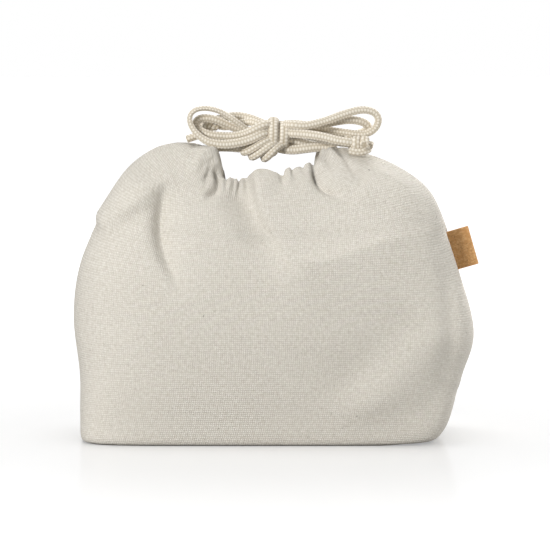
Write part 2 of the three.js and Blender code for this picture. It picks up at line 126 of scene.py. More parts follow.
def noise(vector, stretch, detail=2.0):
    """Noise on a vector that is stretched first, so that it can run along a yarn."""
    tree = vector.id_data
    mapping = tree.nodes.new("ShaderNodeMapping")
    mapping.inputs["Scale"].default_value = stretch
    put(mapping.inputs["Vector"], vector)
    texture = tree.nodes.new("ShaderNodeTexNoise")
    texture.inputs["Scale"].default_value = 1
    texture.inputs["Detail"].default_value = detail
    put(texture.inputs["Vector"], mapping.outputs[0])
    return texture.outputs["Fac"]


def rescale(value, *limits):
    """Takes a value from the range of the first two limits to that of the last two."""
    node = value.id_data.nodes.new("ShaderNodeMapRange")
    for name, limit in zip(("From Min", "From Max", "To Min", "To Max"), limits):
        put(node.inputs[name], limit)
    put(node.inputs["Value"], value)
    return node.outputs["Result"]


def mix_colour(factor, first, second):
    node = factor.id_data.nodes.new("ShaderNodeMix")
    node.data_type = "RGBA"
    put(node.inputs[0], factor)
    put(node.inputs[6], first)
    put(node.inputs[7], second)
    return node.outputs[2]


def bump(shader, height, distance):
    node = shader.id_data.nodes.new("ShaderNodeBump")
    node.inputs["Distance"].default_value = distance
    put(node.inputs["Height"], height)
    put(shader.inputs["Normal"], node.outputs["Normal"])


# %% [markdown]
# The cord is a round braid of pale cotton: raised stitches in staggered rows, with darker grooves.
# The raised stitches are real relief in the mesh. The mesh keeps each point's height in the braid as
# an attribute, so the colour can follow it: painted highlight on the stitches and painted shade in the
# grooves between them.

# %% Cord material
# The braid's colours paint its light: the pale one lights the stitch tops, the dark one is painted shade in
# the grooves.
CORD_LIT = srgb(240, 234, 222)
CORD_GROOVE_SHADE = srgb(176, 161, 134)
CORD_FIBRES = (9000, 1500, 1)  # noise a metre, round the cord and along it
CORD_MOTTLE = (260, 110, 1)
GROOVE_NARROWING = 1.3
FIBRE_SHADES = (-0.1, 0.2)
CORD_MOTTLE_SHADES = (-0.1, 0.15)
FIBRE_HEIGHT = 0.15 * MM


def make_cord_material():
    material, tree, shader = start_material("cotton_braid", roughness=0.85, specular=0.25, sheen=0.15)
    relief = tree.nodes.new("ShaderNodeAttribute")
    relief.attribute_name = "braid"
    place = tree.nodes.new("ShaderNodeUVMap")
    place.uv_map = "cord"
    fibre = noise(place.outputs[0], CORD_FIBRES)
    mottle = noise(place.outputs[0], CORD_MOTTLE)
    # Painted light: paler where the braid stands high, and darker painted shade in its grooves.
    lit = calculate("POWER", relief.outputs["Fac"], GROOVE_NARROWING)
    lit = calculate("ADD", lit, rescale(fibre, 0, 1, *FIBRE_SHADES))
    lit = calculate("ADD", lit, rescale(mottle, 0, 1, *CORD_MOTTLE_SHADES))
    put(shader.inputs["Base Color"], mix_colour(lit, CORD_GROOVE_SHADE, CORD_LIT))
    bump(shader, fibre, FIBRE_HEIGHT)
    return material


cord_material = make_cord_material()
print("made", cord_material.name)

# %% [markdown]
# A cord is a fixed length of something limp, so its shape is its route: a few points given along
# the strand, joined by one smooth curve. The points are the same as the solids' points.

# %% Routes


def smooth_line(points, steps=24):
    """Many closer points on a smooth curve through the points."""
    points = np.asarray(points, float)
    first, last = 2 * points[0] - points[1], 2 * points[-1] - points[-2]
    padded = np.vstack([first, points, last])
    t = np.linspace(0, 1, steps, endpoint=False)[:, None]
    spans = []
    for a, b, c, d in zip(padded, padded[1:], padded[2:], padded[3:]):
        straight = b + t * (c - a) / 2
        bend = t**2 * (2 * a - 5 * b + 4 * c - d) / 2
        twist = t**3 * (3 * b - a - 3 * c + d) / 2
        spans.append(straight + bend + twist)
    return np.vstack([*spans, points[-1:]])


def lengths_along(line):
    steps = np.linalg.norm(np.diff(line, axis=0), axis=1)
    return np.concatenate([[0], np.cumsum(steps)])


def at_places(places, along, line):
    """Points of a line at some places along it."""
    return np.column_stack([np.interp(places, along, axis) for axis in line.T])


def even_line(line, count):
    """The same line with that many evenly spaced points."""
    along = lengths_along(line)
    places = np.linspace(0, along[-1], count)
    return at_places(places, along, line)


CORD_STEP = 0.4 * MM
ROUTE_SMOOTHING = 12


def cord_line(points):
    """An evenly spaced route with its small kinks rounded off."""
    line = smooth_line(points)
    line = even_line(line, round(lengths_along(line)[-1] / CORD_STEP) + 1)
    for _ in range(ROUTE_SMOOTHING):
        line[1:-1] = (line[:-2] + 2 * line[1:-1] + line[2:]) / 4
    return line


# %% [markdown]
# The braid is a tube whose radius swells and sinks: rows of stitches run along the cord with grooves
# between them, and along each row a wave raises one stitch after another, staggered from row to row.
# The tube's section turns no more than its route does, so the rows of stitches don't spiral.

# %% Braided tubes
CORD_DIAMETER = 4.4 * MM
CORD_TOP_RADIUS = 2.3 * MM
BRAID_ROW_PAIRS = 3
BRAID_PITCH = 1.74 * MM
BRAID_DEPTH = 0.42 * MM
ROW_SHARE, STITCH_SHARE = 0.72, 0.28  # of the braid's depth
CORD_SIDES = 40
FIRST_ACROSS = (0.31, 0.52, 0.8)  # a direction that no route starts along
CUT_END = [  # share of the radius, and rise past the cut in millimetres, of each ring of a cut face
    (0.97, 0.12), (0.86, 0.2), (0.66, 0.1), (0.6, -0.25), (0.5, 0.05), (0.25, 0.15),
]


def unit(vectors):
    return vectors / np.linalg.norm(vectors, axis=-1)[..., None]


def section_frames(line, across):
    """Tangents, and two directions square to them, the first as close to across as it can be."""
    tangents = unit(np.gradient(line, axis=0))
    if across is None:
        across = unit(np.cross(tangents[0], FIRST_ACROSS))
        sides = []
        for tangent in tangents:
            across = unit(across - tangent * (across @ tangent))
            sides.append(across)
        sides = np.array(sides)
    else:
        across = np.array(across, float)
        sides = unit(across - tangents * (tangents @ across)[:, None])
    return tangents, sides, np.cross(tangents, sides)


def tube_rings(line, across, flatness):
    """Rings of points round the route, with their heights in the braid, and a cut face at both ends."""
    tangents, sides, ups = section_frames(line, across)
    along = lengths_along(line)
    turns = np.linspace(0, 2 * np.pi, CORD_SIDES, endpoint=False)
    row = np.cos(BRAID_ROW_PAIRS * turns)
    wave = np.sign(row) * np.cos(2 * np.pi * along / BRAID_PITCH)[:, None]
    relief = np.sqrt(np.abs(row)) * (ROW_SHARE + STITCH_SHARE * wave)
    radius = CORD_TOP_RADIUS - BRAID_DEPTH * (1 - relief)
    shares, given = (np.linspace(0, 1, len(values)) for values in (line, flatness))
    wide = np.interp(shares, given, flatness)[:, None, None]
    spokes = np.cos(turns)[None, :, None] * sides[:, None] / wide
    spokes = spokes + np.sin(turns)[None, :, None] * ups[:, None] * wide
    rings = list(line[:, None] + radius[:, :, None] * spokes)
    heights = list(relief)
    for end, outward in ((0, -1), (-1, 1)):
        for share, rise in CUT_END:
            middle = line[end] + outward * rise * MM * tangents[end]
            spot = 0 if end == 0 else len(rings)
            rings.insert(spot, middle + share * radius[end][:, None] * spokes[end])
            heights.insert(spot, relief[end] * share)
    return np.array(rings), np.array(heights), along


def add_tube(vertices, faces, heights, places, line, across, flatness):
    """Adds one closed tube to the lists that a mesh is made from."""
    rings, relief, along = tube_rings(line, across, flatness)
    start = sum(len(part) for part in vertices)
    count, sides = relief.shape
    index = start + np.arange(count * sides).reshape(count, sides)
    after = np.roll(index, -1, axis=1)
    quads = np.stack([index[:-1], after[:-1], after[1:], index[1:]], axis=-1)
    faces += [*quads.reshape(-1, 4).tolist(), index[0][::-1].tolist(), index[-1].tolist()]
    vertices.append(rings.reshape(-1, 3))
    heights.append(relief.ravel())
    reach = np.pad(along, len(CUT_END), mode="edge")
    turn = np.arange(sides) / sides * np.pi * CORD_DIAMETER
    places.append(np.stack(np.broadcast_arrays(turn, reach[:, None]), axis=-1).reshape(-1, 2))


def set_uv(mesh, layer, places):
    """Gives each point's place to all the corners that meet there."""
    corners = np.empty(len(mesh.loops), int)
    mesh.loops.foreach_get("vertex_index", corners)
    layer.data.foreach_set("uv", places[corners].ravel())


def braided_piece(name, tubes, body, replaced):
    """One piece of cord: a tube for each line, with a direction across it and its flatness."""
    vertices, faces, heights, places = [], [], [], []
    for line, across, flatness in tubes:
        add_tube(vertices, faces, heights, places, line, across, flatness)
    mesh = bpy.data.meshes.new(name)
    mesh.from_pydata(np.vstack(vertices).tolist(), [], faces)
    mesh.attributes.new("braid", "FLOAT", "POINT").data.foreach_set("value", np.concatenate(heights))
    set_uv(mesh, mesh.uv_layers.new(name="cord"), np.vstack(places))
    mesh.materials.append(cord_material)
    mesh.shade_smooth()
    piece = bpy.data.objects.new(name, mesh)
    bpy.context.collection.objects.link(piece)
    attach(piece, body)
    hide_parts(*replaced)
    return piece


print("braid:", 2 * BRAID_ROW_PAIRS, "rows of stitches round the cord")

# %% [markdown]
# The bow's own pieces: four loops, four tails and four strands. The loops and tails leave the knot
# square to its upright axis on two levels, so they can swing about it. Each route starts a little
# inside the knot, where the wraps hide its end.

# %% Routes of the bow
GATES = np.array(joints["bow_tilt"]["pos_m"])
KNOT_X = joints["left_loop_swing"]["pos_m"][0] / MM
LOW, HIGH = 8, 12.8  # the two levels above the gates at which cords leave the knot
ENTRY_REACHES = (4.5, 8, 11.5)  # distances from the knot's axis
RIGHT, LEFT, FAN = 0, 180, 40  # directions in degrees, and the angle between neighbours
EXIT_X = 31.5
PAIR_OFFSET = 2.5
FRONT_TO_BACK = (0, 1, 0)


def entry(degrees, height):
    """Points that leave the knot square to its axis, on one level."""
    angle = math.radians(degrees)
    return [
        (KNOT_X + reach * math.cos(angle), reach * math.sin(angle), height) for reach in ENTRY_REACHES
    ]


LOOPS = {
    "left_loop_outer": [
        *entry(LEFT + FAN, LOW),
        (-10.5, -8.9, 5.4), (-18.5, -9.8, 3), (-28, -10.3, 2.2), (-36, -10.3, 3.8),
        (-41.6, -9.6, 7.8), (-45, -8.7, 12.4), (-46, -7.8, 16.2), (-44.8, -6.9, 19.6),
        (-41.4, -6, 21.6), (-35.8, -5, 21.9), (-29.5, -4, 20.3), (-24, -3, 17.2),
        (-19, -1.8, 13.4), (-14, -0.6, 9.8),
        *entry(LEFT, LOW)[::-1],
    ],
    "left_loop_inner": [
        *entry(LEFT + FAN, HIGH),
        (-10, -7.8, 10.4), (-14, -6.6, 8.4), (-18.5, -5.8, 7), (-25, -5.2, 6.4),
        (-34, -4.6, 7.2), (-40, -3.6, 9.4), (-42.6, -2.2, 12.6), (-41, -0.8, 15.6),
        (-36.2, 0.2, 16.2), (-31, 1, 15), (-26.5, 2, 13), (-20.6, 3.4, 10.4), (-14, 5, 8.4),
        *entry(LEFT - FAN, LOW)[::-1],
    ],
    "right_loop_outer": [
        *entry(RIGHT - FAN, HIGH),
        (18.5, -7.2, 12.4), (28.9, -4.6, 14.6), (37.5, -2.6, 17.6), (46, -1, 20.2),
        (52.4, 0.2, 20.8), (57.6, 1.2, 19), (59.6, 2, 15.4), (58.5, 2.6, 11.4),
        (55.2, 3.2, 8.2), (50.4, 4, 6.9), (41.7, 5.6, 7.8), (31.4, 7, 9.2), (20.2, 8.2, 11),
        *entry(RIGHT + FAN, HIGH)[::-1],
    ],
    "right_loop_inner": [
        *entry(RIGHT, HIGH),
        (20.5, 0, 12.2), (28, 1, 12.8), (37, 2.4, 14.3), (43.3, 3.6, 15), (50, 5.2, 14),
        (54, 7.2, 11.2), (52, 9.6, 8.2), (46, 11, 6.4), (38, 11.6, 5.8), (29, 11.4, 5.8), (20.2, 10, 6.4),
        *entry(RIGHT + FAN, LOW)[::-1],
    ],
}
TAILS = {
    "left_tail_lower": [
        *entry(LEFT, HIGH),
        (-12, 3.6, 14), (-17, 7.2, 13), (-22, 8.8, 11.8), (-26.6, 9, 11), (-31, 9, 12),
    ],
    "left_tail_upper": [
        *entry(LEFT - FAN, HIGH),
        (-11, 10, 15.2), (-17, 11, 16.6), (-22, 10.2, 16.8), (-26.6, 9, 15.9), (-31, 9, 15),
    ],
    "right_tail_front": [
        *entry(RIGHT - FAN, LOW),
        (20.2, -10.2, 7.6), (28.9, -12.6, 6.4), (35.4, -13.8, 4.8), (41.6, -14.4, 3.8), (46, -13.4, 3.2),
    ],
    "right_tail_back": [
        *entry(RIGHT, LOW),
        (21, -4.6, 6.9), (29, -7.4, 5.2), (35.4, -8.8, 4), (41.6, -9.4, 3.2), (46, -10.4, 2.8),
    ],
}
STRANDS = {
    "left_strand_front": [
        (-EXIT_X - 1, -PAIR_OFFSET, 0), (-22.5, -PAIR_OFFSET, -0.2), (-18, -2.2, -0.6),
        (-8, 0, 1), (3, 0.5, 4),
    ],
    "left_strand_back": [
        (-EXIT_X - 1, PAIR_OFFSET, 0), (-22.5, PAIR_OFFSET, -0.2), (-18, 2.8, -0.6),
        (-8, 3.2, 1), (3, 1.5, 4),
    ],
    "right_strand_lower": [
        (EXIT_X + 1, -PAIR_OFFSET, 0), (24, -PAIR_OFFSET, -0.1), (18, -2.2, -0.8), (12.1, -1.6, -1.5),
        (6, -1.2, -1), (-1, 0.5, 1),
    ],
    "right_strand_upper": [
        (EXIT_X + 1, PAIR_OFFSET, 0), (24, PAIR_OFFSET, 0.2), (18, 1.8, 1.7), (12.1, 0.8, 3.1),
        (6, 0.6, 4), (-1, 1, 5),
    ],
}
FLATNESS = {  # how much taller than deep the soft braid is at even places along a route
    "left_loop_outer": [1.1, 1.2, 1.2, 1.15, 0.95, 0.72, 0.66, 0.7, 0.85, 1, 1],
    "right_loop_outer": [1.1, 1.1, 1.1, 1, 0.95, 0.95, 1, 1],
    "right_tail_front": [1.15, 1.2, 1.15, 1.1],
    "right_tail_back": [1.3],
    "right_strand_upper": [1.25],
    "right_strand_lower": [1.25],
}
USUAL_FLATNESS = [1.08]
ROUND = [1.0]


def from_gates(points):
    """A route in millimetres from the middle of the two gates, as a smooth line."""
    return cord_line(GATES + np.array(points) * MM)


def side_of(name):
    return name.split("_")[0]


def bow_pieces(routes, body):
    pieces = {}
    for name, points in routes.items():
        line = from_gates(points)
        tube = (line, FRONT_TO_BACK, FLATNESS.get(name, USUAL_FLATNESS))
        piece = braided_piece(name + "_braid", [tube], body.format(side_of(name)), [name])
        pieces[name] = (piece, line)
        print(name, "is", round(lengths_along(line)[-1] / MM, 1), "mm long")
    return pieces


loops = bow_pieces(LOOPS, "{}_loops")
tails = bow_pieces(TAILS, "{}_tails")
strands = bow_pieces(STRANDS, "bow")

# %% [markdown]
# The knots are the same cord wound tightly. The bow knot has two upright wraps, and at its lower left
# three strands come up from the gate and go under them. Each pair of tails ends in a stopper knot with
# a cut end. Rows of overlapping tubes give the right lumps, because real wraps press into each other.

# %% Knots
KNOT_MIDDLE = 6.5
SIDEWAYS = (1, 0, 0)
WRAP_FLATNESS = [0.74]
WRAP_POINTS = 15
WRAP_OPENING = 0.06  # half the angle between a wrap's two ends, at its top
WRAPS = [  # x, forward reach, rise to the top, drop to the foot and how far the foot leans to the side
    (0.8, 7.2, 9.0, 10.2, -0.8),
    (6.9, 6.0, 6.6, 6.4, -0.8),
]


def wrap_route(x, depth, top, bottom, lean):
    """Once round the knot: down its front, under it and up its back."""
    turns = np.linspace(WRAP_OPENING, 2 * np.pi - WRAP_OPENING, WRAP_POINTS)
    rise = np.where(np.cos(turns) > 0, top, bottom) * np.cos(turns)
    sideways = lean * np.clip(-np.cos(turns), 0, 1)
    return np.column_stack([x + sideways, -depth * np.sin(turns), KNOT_MIDDLE + rise])


UNDER_STRANDS = [
    # Three strands at the lower left
    [
        (-8, 3, 2), (-14.4, 0.5, -0.8), (-15.8, -4, -2.6), (-13, -7.4, -1.8),
        (-8.4, -8.2, 0.9), (-3.4, -7.4, 3.7), (3, -4, 6),
    ],
    [
        (-4, 3, -2), (-9.6, 0.5, -3.8), (-11.4, -4, -5.2), (-9.2, -7.6, -4.3),
        (-5.6, -8.4, -1.8), (-1.2, -7.8, 1.2), (4, -4, 3.6),
    ],
    [
        (1, 3, -3), (-3, 0.5, -5), (-4.4, -4, -6.2), (-2.8, -7.4, -5.2),
        (-0.6, -8.2, -3.2), (2, -7.4, -0.6), (6, -4, 2),
    ],
    # Three short stretches that fill the inside of the knot
    [(-4, 1, 4), (0, 0, 8), (5, 0, 9.6), (11, 0, 9)],
    [(-4, 1, 11), (0, 0.5, 12.4), (5, 0, 12.6), (11, 0, 11)],
    [(-3, -3, 8), (2, -1.5, 5), (8, -1, 4), (11, -1, 6)],
]
STOPPER_TURNS = 2
STOPPER_POINTS = 12  # on each turn
STOPPER_SPACING = 4.8
STOPPER_FLATNESS = [0.85]


def stopper_route(middle, radius, lean):
    """A cord wound round a pair of tails, as an open helix along X."""
    turns = np.linspace(0, 2 * np.pi * STOPPER_TURNS, STOPPER_POINTS * STOPPER_TURNS + 1)
    across = (turns / (2 * np.pi) - STOPPER_TURNS / 2) * STOPPER_SPACING
    x = across + lean * np.cos(turns)
    return middle + np.column_stack([x, radius * np.sin(turns), radius * np.cos(turns)])


def stopper(side, middle, radius, lean, ends):
    tubes = [(from_gates(stopper_route(middle, radius, lean)), SIDEWAYS, STOPPER_FLATNESS)]
    tubes += [(from_gates(end), None, ROUND) for end in ends]
    return braided_piece(side + "_stopper_braid", tubes, side + "_tails", [side + "_end_knot"])


knot_tubes = [(from_gates(wrap_route(*wrap)), SIDEWAYS, WRAP_FLATNESS) for wrap in WRAPS]
knot_tubes += [(from_gates(points), None, ROUND) for points in UNDER_STRANDS]
bow_knot = braided_piece("bow_knot_braid", knot_tubes, "bow", ["bow_knot"])
LEFT_ENDS = [[(-31, 9, 14), (-36, 9.6, 9.5), (-41, 9.2, 6.2), (-47.6, 8, 4)]]
RIGHT_ENDS = [
    [(46, -9, 0.2), (49.4, -11, 1.8), (50.8, -15, 2.2), (51.4, -19, 2.2)],
    [(46, -10, 3.2), (50, -10.6, 2.8), (53, -11, 2.2), (56, -11.6, 1.6)],
    [(43.6, -15, -0.8), (47, -16, -1.8), (51, -15.4, -1.4), (54, -13.4, -0.2)],
]
stoppers = {
    "left": stopper("left", middle=(-34.3, 9, 12.8), radius=2.6, lean=0.9, ends=LEFT_ENDS),
    "right": stopper("right", middle=(48, -12, 2.2), radius=3.2, lean=-0.9, ends=RIGHT_ENDS),
}
print("knots:", bow_knot.name, *(piece.name for piece in stoppers.values()))

# %% [markdown]
# The free stretches of cord are counted: the loops, the strands and the tails. A loop goes back into
# the knot, and a tail ends in its stopper.


print("declared", len(loops) + len(strands) + len(tails), "stretches of cord")

# %% [markdown]
# The canvas is a plain weave of heathered yarn: one bump at each crossing, in rows both ways, and its
# colour is paler on the bumps and darker between them, which is painted shade. Some yarns are paler
# than their neighbours along a stretch, and a few dark slubs show as short flecks.
# The cloth's own UV map is in metres, so the yarns keep their size on every panel.

# %% Canvas material
YARN_PITCH = 1.15 * MM
YARN_WANDER = 0.9  # how far the rows of yarn stray, in radians of their wave
YARN_ROUNDNESS = 0.7
YARN_HEIGHT = 0.3 * MM
CROSSING_BLEND = 0.1
WANDER_NOISE = (160, 160, 1)  # each noise is given across the cloth and up it, a metre
WARP_NOISE = (0.9 / YARN_PITCH, 380, 1)
WEFT_NOISE = (420, 0.9 / YARN_PITCH, 1)
MOTTLE_NOISE = (30, 30, 1)
SLUB_NOISE = (330, 240, 1)
SLUB_LIMITS, SLUB_STRENGTH = (0.72, 0.8), 0.7
# The weave's share of the colour is painted shade: darker between the yarns, paler on their crossings.
WEAVE_PAINTED_SHADE, HEATHER_SHADE, MOTTLE_SHADE = 0.5, 0.6, 0.03
CANVAS_PALE = srgb(230, 226, 217)
CANVAS_DEEP = srgb(190, 182, 168)
CANVAS_FLECK = srgb(120, 110, 96)


def make_canvas_material():
    material, tree, shader = start_material(
        "heathered_canvas", roughness=0.95, specular=0.15, sheen=0.1, sheen_roughness=0.6
    )
    place = tree.nodes.new("ShaderNodeUVMap")
    place.uv_map = "cloth"
    where = place.outputs[0]
    apart = tree.nodes.new("ShaderNodeSeparateXYZ")
    put(apart.inputs[0], where)
    wander = rescale(noise(where, WANDER_NOISE), 0, 1, -YARN_WANDER, YARN_WANDER)
    waves = []
    for axis in ("X", "Y"):
        turns = calculate("MULTIPLY", apart.outputs[axis], math.pi / YARN_PITCH)
        waves.append(calculate("SINE", calculate("ADD", turns, wander)))
    crossing = calculate("MULTIPLY", *waves)
    weave = calculate("POWER", calculate("ABSOLUTE", crossing), YARN_ROUNDNESS)
    warp_on_top = rescale(crossing, -CROSSING_BLEND, CROSSING_BLEND, 0, 1)
    warp = noise(where, WARP_NOISE, 1)
    weft = noise(where, WEFT_NOISE, 1)
    heather = mix_colour(warp_on_top, weft, warp)
    mottle = noise(where, MOTTLE_NOISE, 3)
    # Painted shade: the colour darkens between the yarns as the weave's height falls.
    pale = calculate("MULTIPLY", weave, WEAVE_PAINTED_SHADE)
    pale = calculate("ADD", pale, rescale(heather, 0.25, 0.75, 0.0, HEATHER_SHADE))
    pale = calculate("ADD", pale, rescale(mottle, 0.3, 0.7, -MOTTLE_SHADE, MOTTLE_SHADE))
    colour = mix_colour(pale, CANVAS_DEEP, CANVAS_PALE)
    slubs = rescale(noise(where, SLUB_NOISE), *SLUB_LIMITS, 0, SLUB_STRENGTH)
    put(shader.inputs["Base Color"], mix_colour(slubs, colour, CANVAS_FLECK))
    bump(shader, calculate("ADD", weave, heather), YARN_HEIGHT)
    return material


canvas_material = make_canvas_material()
print("made", canvas_material.name)

# %% [markdown]
# The bag's wall is a lofted shell that sags. Four profiles give its form: the left and right side
# seams, and the middles of the front and the back, each from the base fold up to the drawn rim.
# Between them each level has a rounded oblong plan, which is squarer low down.

# %% Profiles of the wall
LEFT_SEAM = [
    (97, 1.6), (104, 0.4), (106.6, 3), (107, 14), (107.5, 36), (111.2, 67),
    (107.2, 97), (93.8, 126.4), (82, 148), (67, 160.2), (54, 164), (43, 163.2),
]
RIGHT_SEAM = [
    (82, 2.2), (89, 1.2), (94, 4), (99.5, 13), (106.5, 36), (113, 60),
    (104.6, 94), (95.6, 123), (86.4, 139.4), (69, 152), (50, 159.8), (37, 163),
]
FRONT_MIDDLE = [
    (47, 1.6), (54, 0.4), (56.4, 3), (57.5, 14), (60.5, 36), (62, 64),
    (58.5, 92), (51, 114), (42.5, 127.5), (33.5, 138), (25.5, 144.8), (19, 147.2),
]
BACK_MIDDLE = [  # as the front up to the belly
    *FRONT_MIDDLE[:7], (51, 112), (42.5, 125), (33.5, 135), (25.5, 141), (19, 143.5),
]
SQUARENESS = [7, 7, 7, 5.6, 4.4, 3.6, 3.2, 2.9, 2.7, 2.5, 2.4, 2.4]  # of the plan at each level
LEFT_RISE = [4, 4, 4, 4, 4, 4, 3.4, 3, 3.2, 4, 5, 5]  # how late the front climbs to its left seam
RIGHT_RISE = [4, 4, 4, 4, 4, 4, 3.2, 2.6, 2.2, 1.9, 1.7, 1.6]
BACK_RISE = [4, 4, 4, 4, 4, 4, 3.4, 3, 2.8, 3.4, 4.5, 5]
GATE_SHELF = (0.62, 0.76)  # shares of the half length between which the rim climbs to a gate
NOSE_SHELF = (0.73, 0.83)  # the same at the front's right, where it climbs later
SHELF_LEVELS = (9, 11)
LEVELS = np.arange(len(SQUARENESS))
PROFILE_STEPS = 24


def smooth_step(value, low, high):
    t = np.clip((value - low) / (high - low), 0, 1)
    return t * t * (3 - 2 * t)


def level_values(values, levels):
    """A profile's values at any level, on a smooth curve through them."""
    curve = smooth_line(np.array(values, float).reshape(len(LEVELS), -1), PROFILE_STEPS)
    at = np.linspace(0, LEVELS[-1], len(curve))
    return at_places(levels, at, curve)


ROUND_STEPS = 721


def wall_row(level, front):
    """One level of one panel, as points from its left seam to its right, seen from outside."""
    start = math.pi if front else 0.0
    turn = np.linspace(start, start + math.pi, ROUND_STEPS)
    power = np.interp(level, LEVELS, SQUARENESS)
    cosine, sine = np.cos(turn), np.sin(turn)
    round_off = (np.abs(cosine) ** power + np.abs(sine) ** power) ** (-1 / power)
    left, right, face = (
        level_values(profile, [level])[0]
        for profile in (LEFT_SEAM, RIGHT_SEAM, FRONT_MIDDLE if front else BACK_MIDDLE)
    )
    on_left = cosine < 0
    share = np.abs(cosine) * round_off
    rises = (LEFT_RISE, RIGHT_RISE) if front else (BACK_RISE, BACK_RISE)
    climb = share ** np.where(on_left, *(np.interp(level, LEVELS, values) for values in rises))
    nose = climb + smooth_step(share, *NOSE_SHELF) * (1 - climb)
    at_gate = np.where(on_left | (not front), smooth_step(share, *GATE_SHELF), nose)
    climb += smooth_step(level, *SHELF_LEVELS) * (at_gate - climb)
    side_height = np.where(on_left, left[1], right[1])
    x = np.where(on_left, left[0], right[0]) * cosine * round_off
    y = face[0] * sine * round_off
    z = face[1] + (side_height - face[1]) * climb
    return np.column_stack([x, y, z])


print("wall:", len(LEVELS), "levels from the base fold to the rim")

# %% [markdown]
# At the rim the cloth rolls over the cords and down inside the mouth, where it is sewn to itself: that
# is the casing. Beside each gate the roll is short, so that the cords can come out.

# %% Grid of one panel
COLUMNS = 280
WALL_ROWS = 126
ROLL_ROWS = 18
ROLL = [(0, 0), (4.4, -1.3), (7.4, -6), (7.3, -11.5), (4.5, -16), (-0.5, -17.5)]  # inwards and up
GATE_SHARE = 0.16  # of the roll that is left beside a gate
GATE_FROM, GATE_TO = 3, 7  # distances from the seam between which the roll gets its full length
RIM_LIFT = [  # how far the front rim is above its plain curve, along its length
    (-36, 0), (-28, 0), (-22, -0.2), (-15, -0.4), (-9, 0.9), (-3, 1.4), (3.5, 0.9), (9.5, 3.2), (14, 1.8),
    (20.5, 1.5), (26, 0.4), (34, 0),
]
RIM_LIFT_HEIGHT = 16
LEVEL_STEPS = 600


def even_levels(count):
    """Levels whose rows lie about evenly up the front."""
    fine = np.linspace(0, LEVELS[-1], LEVEL_STEPS)
    along = lengths_along(level_values(FRONT_MIDDLE, fine))
    return np.interp(np.linspace(0, along[-1], count), along, fine)


def lift_rim(rows):
    """Raises and lowers the top of the front along its length, less and less further down."""
    curve = smooth_line(RIM_LIFT)
    for row in rows:
        below = rows[-1][COLUMNS // 2, 2] - row[COLUMNS // 2, 2]
        share = 1 - smooth_step(below, 0, RIM_LIFT_HEIGHT)
        row[:, 2] += share * np.interp(row[:, 0], *curve.T)


def inside(rim, into, heights):
    """The rim's points moved straight into the mouth, at other heights."""
    tangent = np.gradient(rim, axis=0)
    inward = unit(np.column_stack([-tangent[:, 1], tangent[:, 0]]))
    return np.column_stack([rim[:, :2] + inward * into[:, None], heights])


def panel_grid(front):
    """Rows of points in millimetres, from the base fold up to the rim and down inside it."""
    rows = [even_line(wall_row(level, front), COLUMNS + 1) for level in even_levels(WALL_ROWS + 1)]
    if front:
        lift_rim(rows)
    rim = rows[-1]
    along = lengths_along(rim)
    from_seam = np.minimum(along, along[-1] - along)
    sweep = GATE_SHARE + (1 - GATE_SHARE) * smooth_step(from_seam, GATE_FROM, GATE_TO)
    roll = smooth_line(ROLL)
    path = lengths_along(roll)
    for row in range(1, ROLL_ROWS + 1):
        reach = path[-1] * sweep * row / ROLL_ROWS
        into, down = at_places(reach, path, roll).T
        rows.append(inside(rim, into, rim[:, 2] + down))
    return np.array(rows)


print("roll of the rim:", round(lengths_along(smooth_line(ROLL))[-1], 1), "mm of cloth")

# %% [markdown]
# Cloth that is drawn together falls in folds. Each fold here is a line drawn on the front of the bag,
# in millimetres, with a depth and a width to each side of the line. A negative depth stands proud.
# A cloth simulation would make folds of its own, and the drawn lines give those that this bag has.

